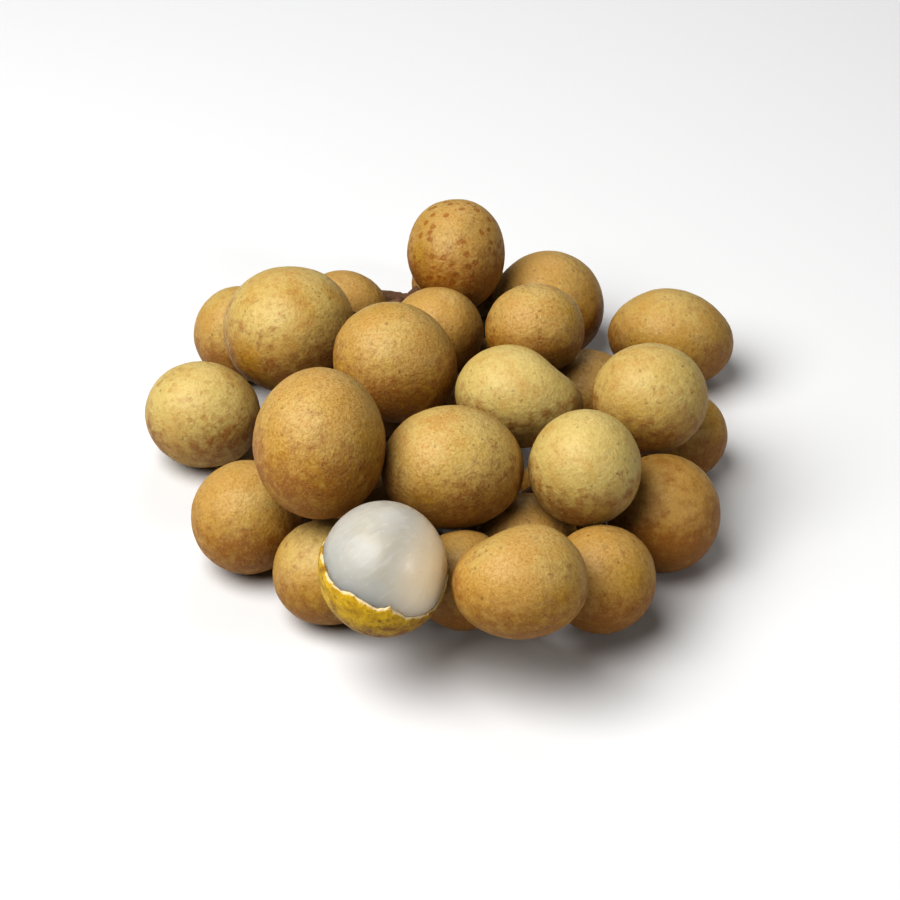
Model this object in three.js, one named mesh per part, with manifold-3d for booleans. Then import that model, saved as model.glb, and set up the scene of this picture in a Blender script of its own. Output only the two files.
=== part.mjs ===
// A bunch of ripe longans lying on a flat surface: round tan fruit crowded on a branched woody stalk,
// with one fruit at the front half peeled so that its white flesh shows above the torn husk.
// Millimetres, +Z up. The side with the peeled fruit faces -Y. The bunch rests on its lowest fruit.
import * as THREE from 'three';
import { mergeVertices } from 'three/addons/utils/BufferGeometryUtils.js';
import Module from 'manifold-3d';

const wasm = await Module();
wasm.setup();

// how the arrangement is described: from a raised point in front of the bunch
const viewRise = 35.5;          // degrees above the table
const viewDistance = 540;       // from the viewpoint to the aim point
const aimHeight = 16;           // the aim point's height above the table

// spacing and relief
const fruitGap = 0.45;          // clear space kept between neighbours
const flatDepth = 0.35;         // how far the lowest fruit are flattened where they rest
const lumpiness = 0.012;        // slow unevenness of a fruit, as a share of its radius
const stemDimple = 0.05;        // depth of the hollow at the stem end, as a share of the radius
const hiddenLargest = 11.4;     // radius of the largest covered fruit
const hiddenSmallest = 8.6;     // radius of the smallest covered fruit
const coveredEnough = 0.5;      // share of a covered fruit's outline that seen fruit must hide
const gapReach = 4.5;           // half the width of a gap that a covered fruit may show in

// The fruit that the viewpoint sees. place is where the centre stands in the view, across and up from
// the aim point; wide and tall are the fruit's own diameters across and up the view; height is the
// centre's height above the table; roll turns the oval in the view, in degrees. swells are its shoulders
// and hollows: across and up the view, then how much as a share of the radius.
const seenFruit = [
  { name: 'fruit_01', place: [1.3, 42.9], wide: 23.0, tall: 26.6, height: 31.0, roll: 0,
    swells: [[0.7, 0.7, 0.04], [-0.7, 0.7, 0.03], [-0.9, -0.35, -0.02], [-0.6, -0.8, -0.035]] },
  { name: 'fruit_02', place: [21.6, 31.8], wide: 27.6, tall: 26.8, height: 13.4, roll: 0,
    swells: [[-0.7, 0.7, -0.02], [0.8, -0.5, 0.02]] },
  { name: 'fruit_03', place: [18.8, 26.9], wide: 22.4, tall: 20.4, height: 29.5, roll: 0,
    swells: [[-0.8, -0.6, 0.03], [0.8, -0.6, 0.03], [0, 1, -0.01]] },
  { name: 'fruit_04', place: [48.6, 24.9], wide: 29.6, tall: 23.4, height: 12.2, roll: -8,
    swells: [[-0.7, 0.6, -0.035], [0.7, 0.7, -0.04], [0.9, -0.4, 0.02]] },
  { name: 'fruit_05', place: [-2.9, 25.9], wide: 21.4, tall: 21.1, height: 22.0, roll: 0 },
  { name: 'fruit_06', place: [44.2, 11.5], wide: 25.4, tall: 23.9, height: 29.5, roll: 0 },
  { name: 'fruit_07', place: [-12.1, 19.4], wide: 28.0, tall: 26.6, height: 28.5, roll: -30,
    swells: [[0.75, 0.65, -0.025], [0.9, -0.45, 0.03], [-0.8, 0.5, 0.015]] },
  { name: 'fruit_08', place: [-35.5, 26.7], wide: 30.4, tall: 28.8, height: 25.0, roll: 0,
    swells: [[0.6, 0.8, 0.015], [-0.7, -0.7, 0.02]] },
  { name: 'fruit_09', place: [-46.4, 25.6], wide: 21.8, tall: 23.0, height: 11.4, roll: 0 },
  { name: 'fruit_10', place: [-23.8, 28.7], wide: 23.6, tall: 23.6, height: 11.8, roll: 0 },
  { name: 'fruit_11', place: [-54.5, 7.9], wide: 26.6, tall: 24.2, height: 12.0, roll: -10,
    swells: [[-0.6, -0.8, 0.03], [0.7, 0.6, -0.015]] },
  { name: 'fruit_12', place: [-28.9, 1.5], wide: 27.4, tall: 31.4, height: 33.5, roll: 0,
    swells: [[0.7, -0.7, 0.015], [-0.7, 0.7, -0.015]] },
  { name: 'fruit_13', place: [14.8, 11.9], wide: 27.2, tall: 21.9, height: 26.5, roll: -10,
    swells: [[0.8, 0.6, -0.15], [1, -0.2, 0.09], [-0.35, 0.9, 0.035]] },
  { name: 'fruit_14', place: [30.2, 12.1], wide: 22.0, tall: 21.3, height: 10.8, roll: 0 },
  { name: 'fruit_15', place: [30.0, -3.8], wide: 23.5, tall: 24.3, height: 29.5, roll: 0 },
  { name: 'fruit_16', place: [0.4, -3.8], wide: 29.8, tall: 26.0, height: 29.0, roll: 0,
    swells: [[0.9, -0.3, 0.02], [-0.7, 0.7, -0.01]] },
  { name: 'fruit_17', place: [-44.6, -14.8], wide: 24.3, tall: 24.5, height: 12.2, roll: 0 },
  { name: 'fruit_18', place: [-26.7, -26.7], wide: 23.4, tall: 22.2, height: 11.3, roll: 0,
    swells: [[-0.6, -0.7, 0.03]] },
  { name: 'fruit_19', place: [3.1, -28.7], wide: 20.8, tall: 20.8, height: 10.4, roll: 0 },
  { name: 'fruit_20', place: [15.5, -29.1], wide: 26.9, tall: 22.5, height: 24.0, roll: 0,
    swells: [[-0.6, 0.8, -0.1], [0.5, 0.86, 0.07], [-0.8, -0.5, 0.02]] },
  { name: 'fruit_21', place: [33.6, -28.5], wide: 22.6, tall: 22.6, height: 10.9, roll: 0 },
  { name: 'fruit_22', place: [47.0, -13.9], wide: 24.7, tall: 25.8, height: 12.6, roll: 0 },
  { name: 'fruit_23', place: [50.8, 3.3], wide: 21.3, tall: 20.3, height: 10.0, roll: 0 },
  { name: 'fruit_24', place: [17.0, -21.0], wide: 22.4, tall: 22.4, height: 11.2, roll: 0 },
  { name: 'peeled', place: [-14.6, -26.0], wide: 26.6, tall: 28.0, height: 25.0, roll: 0 },
];

// which fruit stands in front of which, seen from the viewpoint
const inFront = [
  ['peeled', 'fruit_18'], ['peeled', 'fruit_19'], ['peeled', 'fruit_16'], ['fruit_20', 'fruit_19'],
  ['fruit_20', 'fruit_21'], ['fruit_20', 'fruit_24'], ['fruit_16', 'fruit_24'],
  ['fruit_16', 'fruit_13'], ['fruit_15', 'fruit_22'], ['fruit_15', 'fruit_24'], ['fruit_15', 'fruit_13'],
  ['fruit_15', 'fruit_06'], ['fruit_06', 'fruit_23'], ['fruit_06', 'fruit_04'], ['fruit_06', 'fruit_14'],
  ['fruit_07', 'fruit_05'], ['fruit_07', 'fruit_08'], ['fruit_07', 'fruit_10'], ['fruit_12', 'fruit_07'],
  ['fruit_12', 'fruit_11'], ['fruit_12', 'fruit_17'], ['fruit_12', 'fruit_08'], ['fruit_11', 'fruit_09'],
  ['fruit_08', 'fruit_09'], ['fruit_08', 'fruit_10'], ['fruit_13', 'fruit_03'], ['fruit_13', 'fruit_05'],
  ['fruit_13', 'fruit_14'], ['fruit_03', 'fruit_02'], ['fruit_03', 'fruit_14'], ['fruit_05', 'fruit_01'],
  ['fruit_22', 'fruit_23'], ['fruit_18', 'fruit_17'], ['fruit_12', 'fruit_16'],
];

// the stalk
const twigRadius = 0.85;        // a single fruit's own stalk
const twigSpread = 0.36;        // how fast a branch thickens with the number of fruit it carries
const stalkThickest = 2.6;      // radius of the main axis
const stalkGap = 0.4;           // clear space between the stalk and any fruit
const buttonRadius = 1.5;       // the small flared end that a fruit sits on
const buttonGap = 0.3;          // clear space between that end and its fruit
const cutEnd = [-22, 83, 6];    // where the main axis was cut from the tree

// the crown fruit's seen bit of stalk
const crownTwig = { towards: [-0.74, -0.67, 0.02], length: 6.5, radius: 1.35 };

// the peeled fruit: the husk covers the side away from the tear, whose middle looks along tearToward
const huskWall = 0.7;
const huskToFlesh = 0.2;
const tearToward = [0.27, 0.82, -0.51];   // across, up and away in the view

// the torn edge: the turn round the fruit, then how far the edge lies from the closed end, both in degrees
const tornEdge = [
  [0, 104], [40, 100], [80, 97], [120, 94], [160, 93], [193, 93], [207, 90], [216, 86.5], [230, 87], [241, 91],
  [252, 90], [258, 87.5], [266, 85.5], [276, 90.5], [284, 85.5], [295, 81], [314, 78], [328, 80], [336, 88],
  [345, 100], [360, 104],
];

// axes of the view, and the lines of sight
const rise = THREE.MathUtils.degToRad(viewRise);
const viewRight = new THREE.Vector3(1, 0, 0);
const viewUp = new THREE.Vector3(0, Math.sin(rise), Math.cos(rise));
const viewAway = new THREE.Vector3(0, Math.cos(rise), -Math.sin(rise));
const aim = new THREE.Vector3(0, 0, aimHeight);
const eye = aim.clone().addScaledVector(viewAway, -viewDistance);

// a repeatable random draw between 0 and 1
function makeRandom(seed) {
  let state = seed;
  return () => {
    state = (state * 1664525 + 1013904223) % 4294967296;
    return state / 4294967296;
  };
}

function randomDirection(random) {
  const z = 2 * random() - 1;
  const turn = 2 * Math.PI * random();
  const level = Math.sqrt(1 - z * z);
  return new THREE.Vector3(level * Math.cos(turn), level * Math.sin(turn), z);
}

// a fruit is a lumpy oval: three half axes in its own turned frame, and a few slow swellings
function makeFruit(name, halves, roll, seed, swells = []) {
  const turn = THREE.MathUtils.degToRad(roll);
  const axisA = viewRight.clone().multiplyScalar(Math.cos(turn)).addScaledVector(viewUp, Math.sin(turn));
  const axisB = viewUp.clone().multiplyScalar(Math.cos(turn)).addScaledVector(viewRight, -Math.sin(turn));
  const random = makeRandom(seed);
  const swellings = [];
  for (let k = 0; k < 5; k += 1) {
    swellings.push({ toward: randomDirection(random), amount: lumpiness * (2 * random() - 1) * 1.6, sharp: 3 });
  }
  for (const [across, up, amount] of swells) {
    const toward = viewRight.clone().multiplyScalar(across).addScaledVector(viewUp, up).normalize();
    swellings.push({ toward, amount, sharp: 8 });
  }
  return { name, halves, axes: [axisA, axisB, viewAway.clone()], swellings, centre: new THREE.Vector3() };
}

// distance from a fruit's centre to its surface along a unit direction
function reach(fruit, direction) {
  const a = direction.dot(fruit.axes[0]) / fruit.halves[0];
  const b = direction.dot(fruit.axes[1]) / fruit.halves[1];
  const c = direction.dot(fruit.axes[2]) / fruit.halves[2];
  let radius = 1 / Math.sqrt(a * a + b * b + c * c);
  for (const swelling of fruit.swellings) {
    radius *= 1 + swelling.amount * Math.exp(swelling.sharp * (direction.dot(swelling.toward) - 1));
  }
  if (fruit.stem) {
    const near = direction.dot(fruit.stem) - 1;
    radius *= 1 - stemDimple * Math.exp(22 * near) + 0.02 * Math.exp(4 * near);
  }
  return radius;
}

function meanRadius(fruit) {
  return (fruit.halves[0] + fruit.halves[1] + fruit.halves[2]) / 3;
}

// directions spread evenly over a sphere, used to feel for the nearest points of two fruit
const feelers = [];
const feelerGeometry = new THREE.IcosahedronGeometry(1, 4);
feelerGeometry.deleteAttribute('normal');
feelerGeometry.deleteAttribute('uv');
const feelerPoints = mergeVertices(feelerGeometry).attributes.position;
for (let k = 0; k < feelerPoints.count; k += 1) {
  feelers.push(new THREE.Vector3().fromBufferAttribute(feelerPoints, k).normalize());
}

// signed clearance between two fruit, felt on both surfaces round the line that joins them
function clearanceBetween(a, b) {
  const line = b.centre.clone().sub(a.centre);
  const distance = line.length();
  if (distance > meanRadius(a) + meanRadius(b) + 8) {
    return distance - meanRadius(a) - meanRadius(b);
  }
  line.divideScalar(distance);
  let least = distance - reach(a, line) - reach(b, line.clone().negate());
  const probe = new THREE.Vector3();
  for (const feeler of feelers) {
    const facing = feeler.dot(line);
    if (facing > 0.8) {
      probe.copy(a.centre).addScaledVector(feeler, reach(a, feeler)).sub(b.centre);
      const gap = probe.length();
      least = Math.min(least, gap - reach(b, probe.divideScalar(gap)));
    } else if (facing < -0.8) {
      probe.copy(b.centre).addScaledVector(feeler, reach(b, feeler)).sub(a.centre);
      const gap = probe.length();
      least = Math.min(least, gap - reach(a, probe.divideScalar(gap)));
    }
  }
  return least;
}

// height of a fruit's lowest point
function lowestPoint(fruit) {
  let lowest = 0;
  for (const feeler of feelers) {
    if (feeler.z < -0.85) {
      lowest = Math.min(lowest, feeler.z * reach(fruit, feeler));
    }
  }
  return fruit.centre.z + lowest;
}

// the seen fruit stand on their lines of sight
function standOnSight(fruit) {
  fruit.centre.copy(eye).addScaledVector(fruit.sight, fruit.along);
}

const fruits = seenFruit.map((row, index) => {
  const deep = (row.wide + row.tall) / 2;
  const fruit = makeFruit(row.name, [row.wide / 2, row.tall / 2, deep / 2], row.roll, 11 + 7 * index, row.swells);
  fruit.sight = viewAway.clone().multiplyScalar(viewDistance)
    .addScaledVector(viewRight, row.place[0]).addScaledVector(viewUp, row.place[1]).normalize();
  fruit.along = (row.height - eye.z) / fruit.sight.z;
  fruit.height = row.height;
  standOnSight(fruit);
  return fruit;
});
const fruitNamed = Object.fromEntries(fruits.map((fruit) => [fruit.name, fruit]));

// how far the one in front must stand nearer for the two not to touch
function stepBehind(front, back) {
  const sum = meanRadius(front) + meanRadius(back) + fruitGap;
  const offset = front.centre.clone().sub(back.centre);
  const depth = offset.dot(viewAway);
  const apart = Math.sqrt(Math.max(0, offset.lengthSq() - depth * depth));
  return Math.sqrt(Math.max(0, sum * sum - apart * apart));
}

// push touching fruit apart and let every fruit sink toward its own height
function settle(rounds, pull) {
  for (let round = 0; round < rounds; round += 1) {
    for (const [frontName, backName] of inFront) {
      const front = fruitNamed[frontName];
      const back = fruitNamed[backName];
      const lack = Math.max(1, stepBehind(front, back) - 1) - (back.along - front.along);
      if (lack > 0) {
        front.along -= 0.12 * lack;
        back.along += 0.12 * lack;
      }
    }
    const moves = fruits.map(() => new THREE.Vector3());
    for (let i = 0; i < fruits.length; i += 1) {
      for (let j = i + 1; j < fruits.length; j += 1) {
        const overlap = fruitGap - clearanceBetween(fruits[i], fruits[j]);
        if (overlap > 0) {
          const push = fruits[j].centre.clone().sub(fruits[i].centre).setLength(0.5 * overlap);
          moves[i].sub(push);
          moves[j].add(push);
        }
      }
      moves[i].z += pull * Math.max(-1, Math.min(1, fruits[i].height - fruits[i].centre.z));
      const low = -flatDepth - lowestPoint(fruits[i]);
      if (low > 0) {
        moves[i].z += low;
      }
    }
    fruits.forEach((fruit, index) => {
      if (fruit.sight) {
        fruit.along += 1.2 * moves[index].dot(fruit.sight);
        standOnSight(fruit);
      } else {
        fruit.centre.add(moves[index]);
      }
    });
  }
}

// true where a nearer seen fruit covers the point in the view
function isCovered(point) {
  const sight = point.clone().sub(eye);
  const length = sight.length();
  sight.divideScalar(length);
  return fruits.some((fruit) => {
    if (!fruit.sight) {
      return false;
    }
    const toCentre = fruit.centre.clone().sub(eye);
    const along = toCentre.dot(sight);
    const miss = toCentre.addScaledVector(sight, -along).length();
    return along < length && miss < 0.97 * Math.min(fruit.halves[0], fruit.halves[1]);
  });
}

// true in a narrow gap between two nearer fruit
function isInGap(point) {
  return [viewRight, viewUp].some((axis) => isCovered(point.clone().addScaledVector(axis, gapReach))
    && isCovered(point.clone().addScaledVector(axis, -gapReach)));
}

// the share of a round outline that nearer fruit cover, where the rest only shows in gaps between them
function coveredShare(centre, radius) {
  let covered = isCovered(centre) ? 1 : 0;
  for (let k = 0; k < 16; k += 1) {
    const turn = (2 * Math.PI * k) / 16;
    const rim = centre.clone().addScaledVector(viewRight, radius * Math.cos(turn));
    rim.addScaledVector(viewUp, radius * Math.sin(turn));
    if (isCovered(rim)) {
      covered += 1;
    } else if (!isInGap(rim)) {
      return 0;
    }
  }
  return covered / 17;
}

// room for one more fruit round a point, down to the table and out to its neighbours
function roomAt(point) {
  let room = point.z + flatDepth;
  for (const fruit of fruits) {
    const toward = point.clone().sub(fruit.centre);
    const distance = toward.length();
    if (distance < 30) {
      room = Math.min(room, distance - reach(fruit, toward.divideScalar(distance)) - fruitGap);
    }
  }
  return room;
}

// a place that a covered fruit could take: as large as there is room for, resting on the table if it can
function coveredPlace(x, y, z) {
  const point = new THREE.Vector3(x, y, z);
  let radius = Math.min(hiddenLargest, roomAt(point));
  if (radius < hiddenSmallest || coveredShare(point, radius) < coveredEnough) {
    return null;
  }
  return { point, radius };
}

// take the roomiest covered place again and again, the low ones first
function addCoveredFruit(count) {
  for (let number = 0; number < count; number += 1) {
    let best = null;
    for (let x = -60; x <= 60; x += 2) {
      for (let y = -50; y <= 84; y += 2) {
        for (let z = hiddenSmallest; z <= 30; z += 1.4) {
          const place = coveredPlace(x, y, z);
          const score = place ? place.radius - 0.12 * (z - place.radius) : 0;
          if (place && (!best || score > best.score)) {
            best = { ...place, score };
          }
        }
      }
    }
    if (!best) {
      return;
    }
    const name = `fruit_${fruits.length}`;
    const radius = best.radius;
    const fruit = makeFruit(name, [radius, radius * 0.97, radius * 0.99], 0, 301 + 13 * number);
    fruit.centre.copy(best.point);
    fruit.height = 0;
    fruits.push(fruit);
    fruitNamed[name] = fruit;
    settle(60, 0.05);
  }
}

settle(500, 0.05);
addCoveredFruit(9);
settle(300, 0.05);

// the stalk grows on a lattice of free points between the fruit
const cell = 2;
const low = new THREE.Vector3(-70, -72, 2.2);
const cells = [71, 86, 24];

function latticeIndex(i, j, k) {
  return (k * cells[1] + j) * cells[0] + i;
}

function latticePoint(index) {
  const i = index % cells[0];
  const j = Math.floor(index / cells[0]) % cells[1];
  const k = Math.floor(index / (cells[0] * cells[1]));
  return new THREE.Vector3(low.x + i * cell, low.y + j * cell, low.z + k * cell);
}

function nearestIndex(point) {
  const i = Math.round((point.x - low.x) / cell);
  const j = Math.round((point.y - low.y) / cell);
  const k = Math.round((point.z - low.z) / cell);
  const inside = i > 0 && j > 0 && k >= 0 && i < cells[0] - 1 && j < cells[1] - 1 && k < cells[2] - 1;
  return inside ? latticeIndex(i, j, k) : -1;
}

// clear distance from a point to the nearest fruit, and down to the table
function freeSpace(point) {
  let free = point.z;
  for (const fruit of fruits) {
    const toward = point.clone().sub(fruit.centre);
    const distance = toward.length();
    if (distance < 24) {
      free = Math.min(free, distance - reach(fruit, toward.divideScalar(distance)));
    }
  }
  return free;
}

const latticeFree = new Float32Array(cells[0] * cells[1] * cells[2]);
const latticeCost = new Float32Array(latticeFree.length);
for (let index = 0; index < latticeFree.length; index += 1) {
  const point = latticePoint(index);
  latticeFree[index] = freeSpace(point);
  const inSight = latticeFree[index] > 1 && !isCovered(point) ? 14 : 0;
  const wide = Math.max(0, latticeFree[index] - 6);
  latticeCost[index] = 1 + inSight + 2 / Math.max(0.3, latticeFree[index] - 1) + 0.6 * wide;
}

const steps = [];
for (let i = -1; i <= 1; i += 1) {
  for (let j = -1; j <= 1; j += 1) {
    for (let k = -1; k <= 1; k += 1) {
      if (i || j || k) {
        steps.push({ offset: latticeIndex(i, j, k), k, length: cell * Math.hypot(i, j, k) });
      }
    }
  }
}

// cheapest ways from the grown stalk to every free lattice point
const travel = new Float32Array(latticeFree.length).fill(Infinity);
const cameFrom = new Int32Array(latticeFree.length).fill(-1);

function spreadFrom(sources) {
  const buckets = [];
  const drop = (index, cost) => {
    const slot = Math.floor(cost);
    (buckets[slot] = buckets[slot] || []).push(index);
  };
  for (const source of sources) {
    travel[source] = 0;
    cameFrom[source] = -1;
    drop(source, 0);
  }
  for (let slot = 0; slot < buckets.length; slot += 1) {
    const waiting = buckets[slot] || [];
    for (let n = 0; n < waiting.length; n += 1) {
      const index = waiting[n];
      if (Math.floor(travel[index]) !== slot) {
        continue;
      }
      for (const step of steps) {
        const next = index + step.offset;
        if (next < 0 || next >= travel.length || latticeFree[next] < twigRadius + stalkGap + 0.1) {
          continue;
        }
        const cost = travel[index] + 0.5 * step.length * (latticeCost[index] + latticeCost[next]);
        if (cost < travel[next] - 0.001) {
          travel[next] = cost;
          cameFrom[next] = index;
          drop(next, cost);
        }
      }
    }
  }
}

// a fruit's stem end faces the cheapest free point near its surface, on the side away from the viewer
const stemLead = 3.2;
const stemDirections = [];
const stemGeometry = mergeVertices(stripped(new THREE.IcosahedronGeometry(1, 2)));
for (let k = 0; k < stemGeometry.attributes.position.count; k += 1) {
  stemDirections.push(new THREE.Vector3().fromBufferAttribute(stemGeometry.attributes.position, k));
}

function bestStem(fruit) {
  let best = null;
  for (const direction of stemDirections) {
    const facing = direction.dot(viewAway);
    if (fruit.sight && facing < 0.1) {
      continue;
    }
    const tip = fruit.centre.clone().addScaledVector(direction, reach(fruit, direction) + stemLead);
    const index = nearestIndex(tip);
    if (index < 0 || tip.z < 2.4 || freeSpace(tip) < 1.7 || travel[index] === Infinity) {
      continue;
    }
    const cost = travel[index] - 4 * facing + 3 * Math.abs(direction.z);
    if (!best || cost < best.cost) {
      best = { direction, tip, index, cost };
    }
  }
  return best;
}

function stripped(geometry) {
  geometry.deleteAttribute('normal');
  geometry.deleteAttribute('uv');
  return geometry;
}

// the stalk as a tree of knots: each knows its parent, its place and how many fruit it carries
const knots = [];
const knotAt = new Map();

function addKnot(point, parent) {
  knots.push({ point: point.clone(), parent, carries: 0, children: 0, fixed: false });
  if (parent >= 0) {
    knots[parent].children += 1;
  }
  return knots.length - 1;
}

function growTo(fruit, direction, tip, index) {
  const way = [];
  let at = index;
  while (!knotAt.has(at)) {
    way.push(at);
    at = cameFrom[at];
  }
  let parent = knotAt.get(at);
  for (const place of way.reverse()) {
    parent = addKnot(latticePoint(place), parent);
    knotAt.set(place, parent);
  }
  fruit.stem = direction;
  const end = fruit.centre.clone().addScaledVector(direction, reach(fruit, direction) + buttonGap);
  const tipKnot = addKnot(tip, parent);
  const endKnot = addKnot(end, tipKnot);
  knots[tipKnot].fixed = true;
  knots[endKnot].fixed = true;
  knots[endKnot].button = true;
  knots[endKnot].fruit = fruit;
  for (let up = endKnot; up >= 0; up = knots[up].parent) {
    knots[up].carries += 1;
  }
  spreadFrom(way);
}

function growStalk() {
  const root = nearestIndex(new THREE.Vector3(...cutEnd));
  knotAt.set(root, addKnot(latticePoint(root), -1));
  knots[0].fixed = true;
  spreadFrom([root]);
  const crown = fruits[0];
  const lean = viewRight.clone().multiplyScalar(crownTwig.towards[0])
    .addScaledVector(viewUp, crownTwig.towards[1]).addScaledVector(viewAway, crownTwig.towards[2]).normalize();
  const crownTip = crown.centre.clone().addScaledVector(lean, reach(crown, lean) + crownTwig.length);
  growTo(crown, lean, crownTip, nearestIndex(crownTip));
  knots[knots.length - 1].least = crownTwig.radius;
  knots[knots.length - 2].least = crownTwig.radius;
  const waiting = new Set(fruits.slice(1));
  while (waiting.size > 0) {
    let next = null;
    for (const fruit of waiting) {
      const stem = bestStem(fruit);
      if (stem && (!next || stem.cost < next.stem.cost)) {
        next = { fruit, stem };
      }
    }
    if (!next) {
      break;
    }
    waiting.delete(next.fruit);
    growTo(next.fruit, next.stem.direction, next.stem.tip, next.stem.index);
  }
  return [...waiting].map((fruit) => fruit.name);
}

function thickness(knot) {
  return Math.max(knot.least || 0, Math.min(stalkThickest, twigRadius * knot.carries ** twigSpread));
}

// draw the kinks out of the stalk, keeping it clear of every fruit
function relaxStalk(rounds) {
  for (let round = 0; round < rounds; round += 1) {
    const sums = knots.map(() => new THREE.Vector3());
    const counts = knots.map(() => 0);
    knots.forEach((knot, index) => {
      if (knot.parent >= 0) {
        sums[index].add(knots[knot.parent].point);
        counts[index] += 1;
        sums[knot.parent].add(knot.point);
        counts[knot.parent] += 1;
      }
    });
    knots.forEach((knot, index) => {
      if (knot.fixed) {
        return;
      }
      knot.point.lerp(sums[index].divideScalar(counts[index]), 0.4);
      const need = thickness(knot) + stalkGap;
      for (const fruit of fruits) {
        const toward = knot.point.clone().sub(fruit.centre);
        const distance = toward.length();
        toward.divideScalar(distance);
        const lack = need + reach(fruit, toward) - distance;
        if (lack > 0) {
          knot.point.addScaledVector(toward, 0.6 * lack);
        }
      }
      knot.point.z = Math.max(knot.point.z, need);
    });
  }
  for (const knot of knots) {
    const room = knot.button ? thickness(knot) : freeSpace(knot.point) - stalkGap;
    knot.radius = Math.max(0.55, Math.min(thickness(knot), room));
  }
}

growStalk();
relaxStalk(40);

// meshes
const skinColours = [0xc4a062, 0xbf9656, 0xcaa96c, 0xb98f50, 0xc7a767];
const skinOut = 1.006;          // the flat faces stand a little out, so that they hold the fruit's volume

function toSolid(geometry) {
  const index = geometry.index.array;
  return new wasm.Manifold(new wasm.Mesh({
    numProp: 3,
    vertProperties: new Float32Array(geometry.attributes.position.array),
    triVerts: new Uint32Array(index),
  }));
}

function toGeometry(solid) {
  const mesh = solid.getMesh();
  const geometry = new THREE.BufferGeometry();
  geometry.setAttribute('position', new THREE.BufferAttribute(new Float32Array(mesh.vertProperties), 3));
  geometry.setIndex(new THREE.BufferAttribute(new Uint32Array(mesh.triVerts), 1));
  return geometry;
}

// a ball of flat faces whose corners stand where surface(direction) says
function ballGeometry(centre, detail, surface) {
  const geometry = mergeVertices(stripped(new THREE.IcosahedronGeometry(1, detail)));
  const corners = geometry.attributes.position;
  const direction = new THREE.Vector3();
  for (let k = 0; k < corners.count; k += 1) {
    direction.fromBufferAttribute(corners, k).normalize();
    const radius = surface(direction);
    corners.setXYZ(
      k,
      centre.x + direction.x * radius,
      centre.y + direction.y * radius,
      centre.z + direction.z * radius,
    );
  }
  return geometry;
}

const tableBlock = stripped(new THREE.BoxGeometry(200, 200, 20));
tableBlock.translate(0, 0, -10);
const belowTable = toSolid(mergeVertices(tableBlock));

// a whole fruit, flattened where it rests on the table
function fruitGeometry(fruit) {
  const detail = fruit.sight ? 3 : 2;
  const geometry = ballGeometry(fruit.centre, detail, (direction) => skinOut * reach(fruit, direction));
  geometry.computeBoundingBox();
  if (geometry.boundingBox.min.z > 0) {
    return geometry;
  }
  return toGeometry(toSolid(geometry).subtract(belowTable));
}

// the torn husk: an outer and an inner wall that meet along a ragged edge
const peeled = fruitNamed.peeled;
const tearMiddle = viewRight.clone().multiplyScalar(tearToward[0])
  .addScaledVector(viewUp, tearToward[1]).addScaledVector(viewAway, tearToward[2]).normalize();
const tearSide = viewRight.clone().addScaledVector(tearMiddle, -viewRight.dot(tearMiddle)).normalize();
const tearCross = tearMiddle.clone().cross(tearSide);

function tearReach(turn) {
  const degrees = THREE.MathUtils.radToDeg(turn);
  const next = tornEdge.findIndex(([at]) => at > degrees);
  const [before, beforeReach] = tornEdge[next - 1];
  const [after, afterReach] = tornEdge[next];
  const share = (degrees - before) / (after - before);
  return THREE.MathUtils.degToRad(beforeReach + share * (afterReach - beforeReach));
}

function huskDirection(fromPole, turn) {
  return tearMiddle.clone().multiplyScalar(-Math.cos(fromPole))
    .addScaledVector(tearSide, Math.sin(fromPole) * Math.cos(turn))
    .addScaledVector(tearCross, Math.sin(fromPole) * Math.sin(turn));
}

function huskGeometry() {
  const turns = 30;
  const rings = 7;
  const places = [];
  const faces = [];
  const addWall = (inset) => {
    const first = places.length / 3;
    const pole = huskDirection(0, 0);
    places.push(...peeled.centre.clone().addScaledVector(pole, reach(peeled, pole) - inset).toArray());
    for (let ring = 1; ring <= rings; ring += 1) {
      for (let t = 0; t < turns; t += 1) {
        const turn = (2 * Math.PI * t) / turns;
        const direction = huskDirection((tearReach(turn) * ring) / rings, turn);
        const radius = reach(peeled, direction) - inset;
        places.push(...peeled.centre.clone().addScaledVector(direction, radius).toArray());
      }
    }
    return first;
  };
  const outer = addWall(0);
  const inner = addWall(huskWall);
  const corner = (first, ring, t) => (ring === 0 ? first : first + 1 + (ring - 1) * turns + (t % turns));
  for (let t = 0; t < turns; t += 1) {
    for (let ring = 0; ring < rings; ring += 1) {
      const [a, b] = [corner(outer, ring, t), corner(outer, ring, t + 1)];
      const [c, d] = [corner(outer, ring + 1, t), corner(outer, ring + 1, t + 1)];
      const [e, f] = [corner(inner, ring, t), corner(inner, ring, t + 1)];
      const [g, h] = [corner(inner, ring + 1, t), corner(inner, ring + 1, t + 1)];
      faces.push(a, d, c, e, g, h);
      if (ring > 0) {
        faces.push(a, b, d, e, h, f);
      }
    }
    const [a, b] = [corner(outer, rings, t), corner(outer, rings, t + 1)];
    const [c, d] = [corner(inner, rings, t), corner(inner, rings, t + 1)];
    faces.push(a, b, d, a, d, c);
  }
  const geometry = new THREE.BufferGeometry();
  geometry.setAttribute('position', new THREE.Float32BufferAttribute(places, 3));
  geometry.setIndex(faces);
  return geometry;
}

function fleshGeometry() {
  const inset = huskWall + huskToFlesh;
  return ballGeometry(peeled.centre, 3, (direction) => reach(peeled, direction) - inset);
}

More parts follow.
